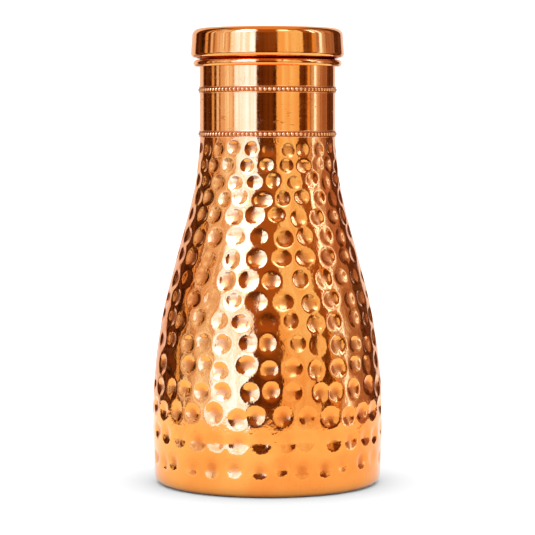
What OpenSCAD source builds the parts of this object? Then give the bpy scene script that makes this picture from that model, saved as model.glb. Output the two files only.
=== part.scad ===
// Hammered copper water bottle with a screw cap.
// Millimetres, +Z up, origin on the table under the middle of the base.

/* [Body] */
// Largest outside diameter of the body
belly_d = 118; // [114:0.5:122]
// Height at which the body is widest
belly_z = 34.5; // [30:0.5:38]
// Angle of the straight flank from the vertical, in degrees
flank_angle = 15; // [14.5:0.25:16]
// Radius of the long curve from the belly into the flank
belly_arc_r = 270; // [240:5:280]
// Radius of the hollow curve from the flank into the neck
shoulder_arc_r = 150; // [130:5:160]
// Radius of the shallow curve that draws the wall in below the belly
tuck_arc_r = 790; // [600:10:1200]
// Radius of the corner between the wall and the foot
foot_corner_r = 4.7; // [3.5:0.1:6]
// Width of the flat land that the bottle stands on
foot_land_w = 4.5; // [3:0.5:8]
// Thickness of the copper sheet
sheet_t = 0.8; // [0.6:0.1:0.9]

/* [Base disc] */
// How far the middle of the base disc is pushed up
base_dome_h = 3; // [1:0.5:6]
// Width of the flat edge of the base disc that is brazed to the foot
base_lap_w = 4; // [2.5:0.5:6]

/* [Neck] */
// Outside diameter of the plain neck
neck_d = 69.9; // [69:0.1:71]
// Height of the plain neck from its seam to the top of the collar
neck_h = 38.3; // [34:0.1:44]
// Length of the spigot that the neck puts down inside the body
lap_l = 4; // [4:0.5:9]

/* [Beaded rings] */
// Number of beads round each ring
bead_count = 94; // [80:2:100]
// Diameter of one bead
bead_d = 2.1; // [1.8:0.05:2.15]
// How far a bead stands out from the neck
bead_proud = 0.7; // [0.6:0.05:0.9]
// Height of the band that carries the beads
band_h = 3.6; // [3.2:0.1:4.2]
// Height of the lower ring above the seam
lower_ring_h = 0.4; // [0:0.1:1.2]
// Height of the upper ring above the seam
upper_ring_h = 22.9; // [18:0.1:28]

/* [Collar] */
// Height of the half-round collar under the cap
collar_h = 3.6; // [3:0.1:4.2]
// How far the collar stands out from the neck
collar_proud = 3.25; // [2.6:0.05:3.4]

/* [Screw thread] */
// Rise of the thread in one turn
pitch = 4.5; // [4.3:0.1:4.5]
// Height of the ridge rolled into the mouth
ridge_h = 1.2; // [1:0.05:1.25]
// Turns of thread on the mouth
mouth_turns = 1.75; // [1:0.25:1.75]
// Turns of thread in the cap
cap_turns = 1.75; // [1:0.25:1.75]
// Running gap between the crests and the roots of the two threads
thread_gap = 0.5; // [0.4:0.05:0.6]
// Height of the mouth above the collar
mouth_h = 12.7; // [12.6:0.1:14]

/* [Cap] */
// Largest outside diameter of the cap
cap_d = 78.8; // [78:0.1:80]
// How far the cap wall leans in from its widest place to the top corner
cap_lean = 0.6; // [0.1:0.05:0.8]
// Radius of the corner round the top
cap_top_r = 3.8; // [3.4:0.1:4.4]
// Radius of the hem that rolls in under the cap
cap_hem_r = 2.3; // [1.8:0.05:2.4]
// How far the middle of the cap top is crowned
cap_crown_h = 0.3; // [0.1:0.1:0.6]
// Gap between the collar and the closed cap
cap_gap = 0.9; // [0.6:0.1:1.5]
// Thickness of the silicone ring
seal_t = 1.4; // [1.2:0.1:1.6]

/* [Hidden] */

braze_gap = 0.05;               // room for the brazing metal between two pieces
seal_gap = 0.1;                 // room round the silicone ring
belly_r = belly_d / 2;
neck_r = neck_d / 2;
cap_r = cap_d / 2;

// The straight flank closes the width that the two curves leave.
curve_in = (belly_arc_r + shoulder_arc_r) * (1 - cos(flank_angle));
flank_l = (belly_r - neck_r - curve_in) / sin(flank_angle);
seam_z = belly_z + (belly_arc_r + shoulder_arc_r) * sin(flank_angle)
    + flank_l * cos(flank_angle);

// The foot corner touches both the table and the tuck curve.
corner_r = belly_r - tuck_arc_r
    + sqrt(pow(tuck_arc_r - foot_corner_r, 2) - pow(belly_z - foot_corner_r, 2));
tuck_angle = asin((belly_z - foot_corner_r) / (tuck_arc_r - foot_corner_r));
land_in_r = corner_r - foot_land_w;

collar_top_z = seam_z + neck_h;
collar_z = collar_top_z - collar_h / 2;
rim_z = collar_top_z + mouth_h;
spigot_r = neck_r - sheet_t - braze_gap;
neck_step = 1.2;                // height over which the sheet steps in or out

mouth_r = neck_r - 0.75;        // root of the thread on the mouth
skirt_r = mouth_r + ridge_h + thread_gap;   // inside of the cap's threaded skirt
ridge_foot = 2.6;               // width of a thread ridge at its root
ridge_tip = 1.0;                // width of a thread ridge at its crest
ridge_root = 0.3;               // how deep a ridge is set into its wall
ridge_sink = 0.12;              // how far a crest sinks into the wall at its ends
run_out = 36;                   // degrees over which a ridge rises at each end
ridge_step = 7.5;               // degrees from one section of a ridge to the next
mouth_thread_z = collar_top_z + 2.75;
cap_thread_start = -206;        // angle at which the cap's ridge starts
cap_thread_z = mouth_thread_z + pitch * (cap_thread_start / 360 + 0.5);

// Heights in the closed cap, from the mouth's lip up through the silicone ring.
cap_z = collar_top_z + cap_gap;
seal_z = rim_z + seal_gap;
inner_under_z = seal_z + seal_t + seal_gap;
inner_top_z = inner_under_z + sheet_t;
inner_corner_r = 2;
cap_top_z = inner_top_z + 0.1 + sheet_t + cap_crown_h;
crown_x = cap_r - cap_lean - cap_top_r;     // where the crowned top meets its corner

// Points on an arc about (x, z), from angle a0 to a1.
function arc(x, z, r, a0, a1, n) =
    [for (i = [0:n]) [x + r * cos(a0 + (a1 - a0) * i / n), z + r * sin(a0 + (a1 - a0) * i / n)]];

function reversed(list) = [for (i = [len(list) - 1:-1:0]) list[i]];

// The body's profile, offset inwards by t, from the foot's land up to the seam.
function body_line(t) = concat(
    [[land_in_r, t]],
    arc(corner_r, foot_corner_r, foot_corner_r - t, -90, -tuck_angle, 9),
    arc(belly_r - tuck_arc_r, belly_z, tuck_arc_r - t, -tuck_angle * 0.75, 0, 3),
    arc(belly_r - belly_arc_r, belly_z, belly_arc_r - t, 1, flank_angle, 14),
    arc(neck_r + shoulder_arc_r, seam_z, shoulder_arc_r + t, 180 + flank_angle, 180, 12)
);

// The cap shell's profile, offset inwards by t, from its hem up to the middle of the top.
function cap_line(t) = concat(
    [[skirt_r + sheet_t + braze_gap, cap_z + t]],
    arc(cap_r - cap_hem_r, cap_z + cap_hem_r, cap_hem_r - t, -90, 0, 8),
    arc(crown_x, cap_top_z - cap_crown_h - cap_top_r, cap_top_r - t, 0, 90, 10),
    [for (i = [3:-1:0]) [crown_x * i / 4, cap_top_z - t - cap_crown_h * pow(i / 4, 2)]]
);

// A thread ridge along a helix. r is the wall, out is 1 for a ridge that stands
// outwards and -1 for one that stands inwards, and h is its height. Each end runs
// out by sinking into the wall.
module ridge(r, out, h, z0, start, turns) {
    n = round(turns * 360 / ridge_step);
    function rise(a) = min(1, a / run_out, (turns * 360 - a) / run_out);
    function section(share) = let (crest = r + out * (share * (h + ridge_sink) - ridge_sink)) [
        [r - out * ridge_root, -ridge_foot / 2], [crest, -ridge_tip / 2],
        [crest, ridge_tip / 2], [r - out * ridge_root, ridge_foot / 2]
    ];
    k = len(section(1));
    points = [
        for (i = [0:n]) let (a = i * ridge_step, z = z0 + pitch * a / 360)
            for (p = section(rise(a))) [p[0] * cos(start + a), p[0] * sin(start + a), z + p[1]]
    ];
    sides = [
        for (i = [0:n - 1]) for (j = [0:k - 1]) for (half = [0, 1])
            let (a = i * k + j, b = i * k + (j + 1) % k)
                half == 0 ? [a, b, b + k] : [a, b + k, a + k]
    ];
    first = [for (j = [1:k - 2]) [0, j + 1, j]];
    last = [for (j = [1:k - 2]) [n * k, n * k + j, n * k + j + 1]];
    faces = concat(sides, first, last);
    polyhedron(points, out > 0 ? faces : [for (f = faces) reversed(f)]);
}

// The hammered body: one spun and planished sheet, open at the foot and the seam.
module body_shell() {
    color("#c8763c") rotate_extrude($fn = 180)
        polygon(concat(body_line(0), reversed(body_line(sheet_t))));
}

// The pressed disc brazed on top of the foot's land.
module base_disc() {
    edge_r = corner_r - 0.5;
    z = sheet_t + braze_gap;
    dome_r = edge_r - base_lap_w;
    dome = [for (i = [0:10]) [dome_r * (1 - i / 10), z + base_dome_h * sin(90 * i / 10)]];
    color("#b86a38") rotate_extrude($fn = 120) polygon(concat(
        [[edge_r, z]],
        dome,
        [for (p = reversed(dome)) [p[0], p[1] + sheet_t]],
        [[edge_r, z + sheet_t]]
    ));
}

// The neck: a spigot inside the body, the plain wall, the mouth with its rolled-in lip and thread.
module neck_tube() {
    low_z = seam_z + braze_gap;
    inside_r = mouth_r - sheet_t;
    color("#cf7d42") union() {
        rotate_extrude($fn = 180) polygon(concat(
            [
                [spigot_r, seam_z - lap_l], [spigot_r, low_z], [neck_r, low_z],
                [neck_r, collar_top_z], [mouth_r, collar_top_z + neck_step]
            ],
            arc(inside_r, rim_z - sheet_t, sheet_t, 0, 270, 12),
            [
                [inside_r, collar_top_z + neck_step - 0.3],
                [neck_r - sheet_t, collar_top_z - 0.3],
                [neck_r - sheet_t, low_z + neck_step], [spigot_r - sheet_t, low_z],
                [spigot_r - sheet_t, seam_z - lap_l]
            ]
        ));
        ridge(mouth_r, 1, ridge_h, mouth_thread_z, 0, mouth_turns);
    }
}

// A band with a fine line along each edge and a row of beads between them.
module bead_ring(z) {
    inner_r = neck_r + braze_gap;
    line_h = 0.45;
    bead_r = bead_d / 2;
    overlap = 0.2;
    color("#d58a52") translate([0, 0, z]) difference() {
        union() {
            rotate_extrude($fn = 180) polygon([
                [inner_r - overlap, -band_h / 2], [inner_r + 0.35, -band_h / 2],
                [inner_r + 0.35, -band_h / 2 + line_h], [inner_r + 0.12, -band_h / 2 + line_h + 0.15],
                [inner_r + 0.12, band_h / 2 - line_h - 0.15], [inner_r + 0.35, band_h / 2 - line_h],
                [inner_r + 0.35, band_h / 2], [inner_r - overlap, band_h / 2]
            ]);
            for (i = [0:bead_count - 1]) rotate(i * 360 / bead_count)
                translate([neck_r + bead_proud - bead_r, 0, 0]) sphere(r = bead_r, $fn = 24);
        }
        cylinder(r = inner_r, h = 2 * band_h, center = true, $fn = 180);
    }
}

// The half-round ring that the cap comes down to.
module collar_ring() {
    inner_r = neck_r + braze_gap;
    nose_r = collar_h / 2;
    color("#c8763c") rotate_extrude($fn = 180) polygon(concat(
        [[inner_r, collar_z + nose_r], [inner_r, collar_z - nose_r]],
        arc(neck_r + collar_proud - nose_r, collar_z, nose_r, -90, 90, 14)
    ));
}

// The outer skin of the cap, with its hem rolled in under the edge.
module cap_shell() {
    color("#cf7d42") rotate_extrude($fn = 180)
        polygon(concat(cap_line(0), reversed(cap_line(sheet_t))));
}

// The threaded cup inside the cap, brazed to the skin's hem.
module inner_cap() {
    out_r = skirt_r + sheet_t;
    corner_z = inner_top_z - inner_corner_r;
    color("#b86a38") union() {
        rotate_extrude($fn = 180) polygon(concat(
            [[skirt_r, cap_z + 0.1], [out_r, cap_z + 0.1]],
            arc(out_r - inner_corner_r, corner_z, inner_corner_r, 0, 90, 6),
            [[0, inner_top_z], [0, inner_under_z]],
            arc(out_r - inner_corner_r, corner_z, inner_corner_r - sheet_t, 90, 0, 5)
        ));
        ridge(skirt_r, -1, ridge_h, cap_thread_z, cap_thread_start, cap_turns);
    }
}

// The silicone ring between the mouth's lip and the top of the cup.
module seal_ring() {
    top_z = seal_z + seal_t;
    in_r = mouth_r - 2 * sheet_t - 0.5;
    out_r = skirt_r + sheet_t - inner_corner_r;
    soft = 0.3;
    color("#e8e4dc") rotate_extrude($fn = 120) polygon([
        [in_r + soft, seal_z], [out_r - soft, seal_z], [out_r, seal_z + soft],
        [out_r, top_z - soft], [out_r - soft, top_z], [in_r + soft, top_z],
        [in_r, top_z - soft], [in_r, seal_z + soft]
    ]);
}

body_shell();
base_disc();
neck_tube();
bead_ring(seam_z + lower_ring_h);  // lower_bead_ring
bead_ring(seam_z + upper_ring_h);  // upper_bead_ring
collar_ring();
cap_shell();
inner_cap();
seal_ring();
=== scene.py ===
"""A hammered copper water bottle with beaded rings and a flat screw cap, dressed over its CAD frame."""

import logging
import math
from dataclasses import dataclass, field
from enum import Enum
from typing import Callable

import bpy
import numpy as np
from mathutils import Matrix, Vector


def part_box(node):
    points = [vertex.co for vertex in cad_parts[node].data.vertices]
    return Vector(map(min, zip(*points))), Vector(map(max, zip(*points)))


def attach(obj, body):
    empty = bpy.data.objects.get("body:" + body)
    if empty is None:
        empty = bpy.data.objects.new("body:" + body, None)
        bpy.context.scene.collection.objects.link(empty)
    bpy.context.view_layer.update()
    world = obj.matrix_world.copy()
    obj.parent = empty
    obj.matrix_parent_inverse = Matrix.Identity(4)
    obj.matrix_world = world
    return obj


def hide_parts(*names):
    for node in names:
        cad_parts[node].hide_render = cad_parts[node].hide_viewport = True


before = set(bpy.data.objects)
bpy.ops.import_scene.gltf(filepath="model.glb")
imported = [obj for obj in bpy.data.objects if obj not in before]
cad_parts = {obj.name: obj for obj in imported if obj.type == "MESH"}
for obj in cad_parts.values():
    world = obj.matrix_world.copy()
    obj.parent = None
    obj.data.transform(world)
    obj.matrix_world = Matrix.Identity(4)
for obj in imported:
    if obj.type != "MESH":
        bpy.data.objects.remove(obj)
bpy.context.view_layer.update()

LOG = logging.getLogger("bottle")
MM = 0.001
TURN = 2 * math.pi
SAME_POINT = 1e-5 * MM
BRAZE_GAP = 0.05 * MM
POLE_RING = 1.2 * MM


class Body(Enum):
    """The CAD bodies that pieces ride on."""

    BOTTLE = "bottle"
    SEAL = "seal"
    CAP = "cap"


# ---------------------------------------------------------------------------------------------
# Profiles: outlines in the half-plane of radius and height, as arrays of shape (n, 2)
# ---------------------------------------------------------------------------------------------


def arc(centre: tuple[float, float], radius: float, start: float, end: float, count: int) -> np.ndarray:
    """A circular arc: centre + radius * (cos a, sin a), with a running evenly from start to end.

    Args:
        centre: The radius and height of the arc's centre.
        radius: The arc's own radius.
        start: The first angle, in degrees.
        end: The last angle, in degrees.
        count: How many points the arc has.

    Returns:
        The arc's points, of shape (count, 2).
    """
    angle = np.radians(np.linspace(start, end, count))
    return np.array(centre) + radius * np.column_stack([np.cos(angle), np.sin(angle)])


def line(start: tuple[float, float], end: tuple[float, float], count: int) -> np.ndarray:
    """A straight run of evenly spaced points.

    Args:
        start: The first point.
        end: The last point.
        count: How many points the run has.

    Returns:
        The points, of shape (count, 2).
    """
    return np.linspace(start, end, count)


def joined(*runs: np.ndarray) -> np.ndarray:
    """Runs of points set end to end, with a point that repeats its neighbour left out.

    Args:
        *runs: Arrays of points, in order.

    Returns:
        One array of points.
    """
    points = np.vstack(runs)
    step = np.linalg.norm(np.diff(points, axis=0), axis=1)
    return points[np.concatenate([[True], step > SAME_POINT])]


def rounded(corners: list[tuple[float, float, float]], steps: int = 5, closed: bool = True) -> np.ndarray:
    """A polygon whose corners are turned into arcs that touch both of their sides.

    The arc of radius q in a corner of half-angle h starts q / tan(h) from the corner on each side.

    Args:
        corners: The corners as (radius, height, fillet radius).
        steps: How many points each arc has.
        closed: Whether the last corner joins the first.

    Returns:
        The outline's points.
    """
    raw = np.array(corners, dtype=float)
    points, count = [], len(raw)
    for i in range(count):
        here, fillet = raw[i, :2], raw[i, 2]
        if fillet <= 0 or (not closed and i in (0, count - 1)):
            points.append(here[None, :])
            continue
        back = raw[i - 1, :2] - here
        ahead = raw[(i + 1) % count, :2] - here
        back_unit, ahead_unit = back / np.linalg.norm(back), ahead / np.linalg.norm(ahead)
        half = math.acos(float(np.clip(back_unit @ ahead_unit, -1, 1))) / 2
        reach = fillet / math.tan(half)
        middle = (back_unit + ahead_unit) / np.linalg.norm(back_unit + ahead_unit)
        centre = here + middle * fillet / math.sin(half)
        first, last = here + back_unit * reach - centre, here + ahead_unit * reach - centre
        begin = math.atan2(first[1], first[0])
        sweep = (math.atan2(last[1], last[0]) - begin + math.pi) % TURN - math.pi
        angle = begin + np.linspace(0, sweep, steps)
        points.append(centre + fillet * np.column_stack([np.cos(angle), np.sin(angle)]))
    return np.vstack(points)


def refined(
    profile: np.ndarray,
    longest: float,
    closed: bool = False,
    hold: float = 0.12 * MM,
    band: tuple[float, float, float] | None = None,
) -> np.ndarray:
    """A profile whose long sides are cut into equal parts, with a point held close to each end.

    The held points keep the shading of a flat side from leaning towards the curve beside it.

    Args:
        profile: The outline's points.
        longest: The longest side that may stay.
        closed: Whether the last point joins the first.
        hold: How far the held points lie from a side's ends.
        band: Optional; a lower height, an upper height and the longest side between them.

    Returns:
        The outline with the added points.
    """
    ends = np.vstack([profile, profile[:1]]) if closed else profile
    runs = []
    for a, b in zip(ends[:-1], ends[1:]):
        length = float(np.linalg.norm(b - a))
        step = longest
        if band is not None and min(a[1], b[1]) < band[1] and max(a[1], b[1]) > band[0]:
            step = min(longest, band[2])
        share = np.arange(max(1, math.ceil(length / step))) / max(1, math.ceil(length / step))
        if length > 5 * hold:
            share = np.unique(np.concatenate([share, [hold / length, 1 - hold / length]]))
        runs.append(a + (b - a) * share[:, None])
    if not closed:
        runs.append(ends[-1:])
    return np.vstack(runs)


def smooth_step(value: np.ndarray | float, low: float, high: float) -> np.ndarray:
    """0 below low, 1 above high, and 3t^2 - 2t^3 between them.

    Args:
        value: What is tested.
        low: Where the rise starts.
        high: Where the rise ends.

    Returns:
        The share of the rise.
    """
    share = np.clip((np.asarray(value, dtype=float) - low) / (high - low), 0, 1)
    return share * share * (3 - 2 * share)


# ---------------------------------------------------------------------------------------------
# Surfaces: grids of points, rows along a profile and columns round the axis
# ---------------------------------------------------------------------------------------------


def spun(profile: np.ndarray, columns: int, relief: Callable | None = None) -> np.ndarray:
    """A profile carried round the axis: x = r cos t, y = r sin t, z = h.

    Args:
        profile: The outline, of shape (rows, 2).
        columns: How many steps one turn has.
        relief: Optional; takes radius, height and angle grids and returns a new radius grid.

    Returns:
        The points, of shape (rows, columns, 3).
    """
    angle = np.arange(columns) * TURN / columns
    radius = np.repeat(profile[:, :1], columns, axis=1)
    height = np.repeat(profile[:, 1:], columns, axis=1)
    turn = np.repeat(angle[None, :], len(profile), axis=0)
    if relief is not None:
        radius = relief(radius, height, turn)
    return np.stack([radius * np.cos(turn), radius * np.sin(turn), height], axis=2)


def grid_faces(rows: int, columns: int, wrap: bool) -> np.ndarray:
    """The four-sided faces of a grid that closes round its columns.

    Face (i, j) joins points (i, j), (i, j+1), (i+1, j+1) and (i+1, j), with j+1 taken round the turn.

    Args:
        rows: How many rows of points there are.
        columns: How many columns there are.
        wrap: Whether the last row joins the first.

    Returns:
        Point numbers, of shape (faces, 4).
    """
    i = np.arange(rows if wrap else rows - 1)[:, None]
    j = np.arange(columns)[None, :]
    below, above, right = i * columns, (i + 1) % rows * columns, (j + 1) % columns
    return np.stack([below + j, below + right, above + right, above + j], axis=2).reshape(-1, 4)


def pole_faces(pole: int, first: int, columns: int, flip: bool) -> np.ndarray:
    """The fan of triangles between a pole and a row of points.

    Args:
        pole: The pole's point number.
        first: The row's first point number.
        columns: How many points the row has.
        flip: Whether the fan is wound the other way.

    Returns:
        Point numbers, of shape (columns, 3).
    """
    j = np.arange(columns)
    fan = np.column_stack([np.full(columns, pole), first + (j + 1) % columns, first + j])
    return fan[:, ::-1] if flip else fan


def volume_of(points: np.ndarray, faces: np.ndarray) -> float:
    """The signed volume inside triangles: a sixth of the sum of a . (b x c).

    Args:
        points: All points.
        faces: Triangles.

    Returns:
        The volume, negative where the faces point inwards.
    """
    a, b, c = (points[faces[:, k]] for k in range(3))
    return float(np.einsum("ij,ij->i", a, np.cross(b, c)).sum() / 6)


def shell(
    name: str,
    grid: np.ndarray,
    wrap: bool = True,
    poles: tuple[float, float] | None = None,
    zones: np.ndarray | None = None,
    attributes: dict[str, np.ndarray] | None = None,
) -> bpy.types.Object:
    """A closed, smooth mesh over a grid of points, with its faces pointing outwards.

    Args:
        name: The piece's name.
        grid: Points of shape (rows, columns, 3).
        wrap: Whether the last row joins the first, as in a ring.
        poles: The heights of the points on the axis that close the first and last rows.
        zones: The material number of each row of faces.
        attributes: Values of shape (rows, columns) to store on the points.

    Returns:
        The new object, at the origin.
    """
    rows, columns = grid.shape[:2]
    points = grid.reshape(-1, 3)
    quads = grid_faces(rows, columns, wrap)
    fans = np.zeros((0, 3), dtype=int)
    if poles is not None:
        points = np.vstack([points, [[0, 0, poles[0]], [0, 0, poles[1]]]])
        count = rows * columns
        fans = np.vstack([
            pole_faces(count, 0, columns, False),
            pole_faces(count + 1, count - columns, columns, True),
        ])
    triangles = np.vstack([quads[:, [0, 1, 2]], quads[:, [0, 2, 3]], fans])
    if volume_of(points, triangles) < 0:
        quads, fans = quads[:, ::-1], fans[:, ::-1]
    mesh = bpy.data.meshes.new(name)
    mesh.vertices.add(len(points))
    mesh.vertices.foreach_set("co", points.astype(np.float32).ravel())
    corners = np.concatenate([quads.ravel(), fans.ravel()]).astype(np.int32)
    sizes = np.concatenate([np.full(len(quads), 4), np.full(len(fans), 3)])
    mesh.loops.add(len(corners))
    mesh.loops.foreach_set("vertex_index", corners)
    mesh.polygons.add(len(sizes))
    mesh.polygons.foreach_set("loop_start", np.concatenate([[0], np.cumsum(sizes)[:-1]]).astype(np.int32))
    if zones is not None:
        index = np.concatenate([np.repeat(zones, columns), np.zeros(len(fans), dtype=int)])
        mesh.polygons.foreach_set("material_index", index.astype(np.int32))
    mesh.polygons.foreach_set("use_smooth", np.ones(len(sizes), dtype=bool))
    for key, values in (attributes or {}).items():
        layer = mesh.attributes.new(key, "FLOAT", "POINT")
        data = np.zeros(len(points), dtype=np.float32)
        data[: rows * columns] = values.ravel()
        layer.data.foreach_set("value", data)
    mesh.update(calc_edges=True)
    mesh.validate()
    piece = bpy.data.objects.new(name, mesh)
    bpy.context.scene.collection.objects.link(piece)
    return piece


def node_points(name: str) -> np.ndarray:
    """The points of a CAD node's mesh.

    Args:
        name: The node's name.

    Returns:
        The points, of shape (n, 3).
    """
    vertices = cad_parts[name].data.vertices
    points = np.empty(len(vertices) * 3)
    vertices.foreach_get("co", points)
    return points.reshape(-1, 3)


def dress(piece: bpy.types.Object, body: Body, slot: str, node: str, *finishes: bpy.types.Material) -> None:
    """Gives a finished piece its materials and its body, hides the CAD node that it replaces and logs it.

    Args:
        piece: The piece.
        body: The body that it rides on.
        slot: Not used.
        node: The CAD node that it replaces.
        *finishes: Its materials, in the order of its material numbers.
    """
    for finish in finishes:
        piece.data.materials.append(finish)
    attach(piece, body.value)
    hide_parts(node)
    LOG.info("%s: %d points on %s, for %s", piece.name, len(piece.data.vertices), body.value, node)


# ---------------------------------------------------------------------------------------------
# Shader node helpers and the effects that more than one finish uses
# ---------------------------------------------------------------------------------------------


class Wiring:
    """A small writer for shader nodes: it adds a node, sets its values and links its inputs."""

    def __init__(self, tree: bpy.types.NodeTree) -> None:
        """Keeps the tree that nodes go into."""
        self.tree = tree

    def add(self, kind: str, settings: dict | None = None, **inputs: object) -> bpy.types.Node:
        """Adds one node.

        Args:
            kind: The node's type name.
            settings: Properties of the node itself.
            **inputs: Values or output sockets for its inputs, with _ for a space in a name.

        Returns:
            The new node.
        """
        node = self.tree.nodes.new(kind)
        for key, value in (settings or {}).items():
            setattr(node, key, value)
        for key, value in inputs.items():
            self.feed(node.inputs[key.replace("_", " ")], value)
        return node

    def feed(self, socket: bpy.types.NodeSocket, value: object) -> None:
        """Links an output to a socket, or sets the socket's own value.

        Args:
            socket: The input socket.
            value: An output socket, or a number, colour or vector.
        """
        if isinstance(value, bpy.types.NodeSocket):
            self.tree.links.new(value, socket)
        else:
            socket.default_value = value

    def place(self) -> bpy.types.NodeSocket:
        """The object coordinates."""
        return self.add("ShaderNodeTexCoord").outputs["Object"]

    def noise(
        self,
        place: bpy.types.NodeSocket,
        scale: object,
        detail: float = 2.0,
        roughness: float = 0.5,
        distortion: float = 0.0,
    ) -> bpy.types.NodeSocket:
        """A cloudy noise that runs from about 0.2 to 0.8.

        Args:
            place: Where it is read.
            scale: How many clouds there are in a metre.
            detail: How many finer copies are added.
            roughness: How strong the finer copies are.
            distortion: How much it is stirred.

        Returns:
            The noise's socket.
        """
        return self.add(
            "ShaderNodeTexNoise",
            Vector=place, Scale=scale, Detail=detail, Roughness=roughness, Distortion=distortion,
        ).outputs[0]

    def bump(
        self, height: bpy.types.NodeSocket, strength: float, distance: float, over: object = None
    ) -> bpy.types.NodeSocket:
        """A normal that is tilted by a height.

        Args:
            height: The height that is read.
            strength: How much of the tilt shows.
            distance: How high a height of 1 stands.
            over: Optional; the normal that is tilted.

        Returns:
            The normal's socket.
        """
        node = self.add("ShaderNodeBump", Strength=strength, Distance=distance, Height=height)
        if over is not None:
            self.feed(node.inputs["Normal"], over)
        return node.outputs[0]

    def maths(self, operation: str, *values: object, clamp: bool = False) -> bpy.types.NodeSocket:
        """One Math node.

        Args:
            operation: The operation's name.
            *values: Its inputs, as numbers or sockets.
            clamp: Whether the result is held between 0 and 1.

        Returns:
            The result's socket.
        """
        node = self.add("ShaderNodeMath", {"operation": operation, "use_clamp": clamp})
        for socket, value in zip(node.inputs, values):
            self.feed(socket, value)
        return node.outputs[0]

    def span(self, value: object, low: object, high: object, to: tuple = (0.0, 1.0)) -> bpy.types.NodeSocket:
        """A smooth rise between two values.

        Args:
            value: What is read.
            low: Where the rise starts.
            high: Where the rise ends.
            to: The result at the start and at the end.

        Returns:
            The result's socket.
        """
        node = self.add("ShaderNodeMapRange", {"interpolation_type": "SMOOTHSTEP"})
        for socket, item in zip(node.inputs, (value, low, high, *to)):
            self.feed(socket, item)
        return node.outputs[0]

    def blend(self, share: object, a: object, b: object) -> bpy.types.NodeSocket:
        """A colour between two colours.

        Args:
            share: How much of the second colour shows.
            a: The first colour.
            b: The second colour.

        Returns:
            The mixed colour's socket.
        """
        node = self.add("ShaderNodeMix", {"data_type": "RGBA"})
        for socket, value in zip((node.inputs[0], node.inputs[6], node.inputs[7]), (share, a, b)):
            self.feed(socket, value)
        return node.outputs[2]


def blank_material(name: str) -> tuple[bpy.types.Material, Wiring]:
    """A material with no nodes yet, and the writer for its tree.

    Args:
        name: The material's name.

    Returns:
        The material and the writer.
    """
    material = bpy.data.materials.new(name)
    material.use_nodes = True
    material.node_tree.nodes.clear()
    return material, Wiring(material.node_tree)


def new_group(name: str, inputs: dict[str, object], outputs: dict[str, str]) -> tuple[Wiring, dict, Callable]:
    """An empty shader node group with named sockets.

    Args:
        name: The group's name.
        inputs: Each input's name and starting value; a tuple of four is a colour.
        outputs: Each output's name and socket type.

    Returns:
        The writer, the inputs' sockets by name, and a function that feeds an output by name.
    """
    tree = bpy.data.node_groups.new(name, "ShaderNodeTree")
    for key, value in inputs.items():
        kind = "NodeSocketColor" if isinstance(value, tuple) else "NodeSocketFloat"
        socket = tree.interface.new_socket(key, in_out="INPUT", socket_type=kind)
        socket.default_value = value
    for key, kind in outputs.items():
        tree.interface.new_socket(key, in_out="OUTPUT", socket_type=kind)
    wiring = Wiring(tree)
    entry, leave = wiring.add("NodeGroupInput"), wiring.add("NodeGroupOutput")

    def put(key: str, value: bpy.types.NodeSocket) -> None:
        """Feeds one of the group's outputs."""
        wiring.feed(leave.inputs[key], value)

    return wiring, {key: entry.outputs[key] for key in inputs}, put


def turning_lines_group() -> bpy.types.NodeTree:
    """Fine lines that run round the axis, as a polishing mop or a lathe leaves them.

    Noise is read with the height stretched far more than the two flat directions, so that it
    changes fast along the axis and slowly round it. A coarser copy breaks the lines into bouts.

    Returns:
        The group, with Height, Streak and Dash outputs.
    """
    wiring, given, put = new_group(
        "turning lines",
        {"Fineness": 2600.0, "Drift": 40.0},
        {"Height": "NodeSocketFloat", "Streak": "NodeSocketFloat", "Dash": "NodeSocketFloat"},
    )
    place = wiring.place()
    parts = wiring.add("ShaderNodeSeparateXYZ", Vector=place).outputs
    flat = [wiring.maths("MULTIPLY", parts[k], given["Drift"]) for k in (0, 1)]
    tall = wiring.maths("MULTIPLY", parts[2], given["Fineness"])
    stretched = wiring.add("ShaderNodeCombineXYZ", X=flat[0], Y=flat[1], Z=tall).outputs[0]
    lines = wiring.noise(stretched, 1.0, 3.0, 0.6)
    bout_z = wiring.maths("MULTIPLY", parts[2], wiring.maths("MULTIPLY", given["Fineness"], 0.16))
    bout_place = wiring.add("ShaderNodeCombineXYZ", X=flat[0], Y=flat[1], Z=bout_z).outputs[0]
    thin = wiring.span(lines, 0.60, 0.70)
    gathered = wiring.span(wiring.noise(place, 60.0), 0.46, 0.62)
    put("Height", lines)
    put("Streak", wiring.span(wiring.noise(bout_place, 1.0), 0.42, 0.66))
    put("Dash", wiring.maths("MULTIPLY", thin, gathered))
    return wiring.tree


def tarnish_group() -> bpy.types.NodeTree:
    """The slow change of colour over handled copper, and the small darker freckles in it.

    Returns:
        The group, with Color, Cloud and Freckle outputs.
    """
    wiring, given, put = new_group(
        "copper tone",
        {"Clean": (0.9, 0.4, 0.15, 1.0), "Warm": (0.8, 0.3, 0.1, 1.0), "Amount": 0.5, "Scale": 18.0},
        {"Color": "NodeSocketColor", "Cloud": "NodeSocketFloat", "Freckle": "NodeSocketFloat"},
    )
    place = wiring.place()
    cloud_mask = wiring.span(wiring.noise(place, given["Scale"], 4.0, 0.55, 0.4), 0.38, 0.68)
    speck = wiring.span(wiring.noise(place, 1400.0, 1.0, 0.4), 0.68, 0.76)
    gathered = wiring.span(wiring.noise(place, 140.0, 1.0), 0.5, 0.7)
    share = wiring.maths("MULTIPLY", cloud_mask, given["Amount"])
    put("Color", wiring.blend(share, given["Clean"], given["Warm"]))
    put("Cloud", cloud_mask)
    put("Freckle", wiring.maths("MULTIPLY", speck, gathered))
    return wiring.tree


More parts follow.
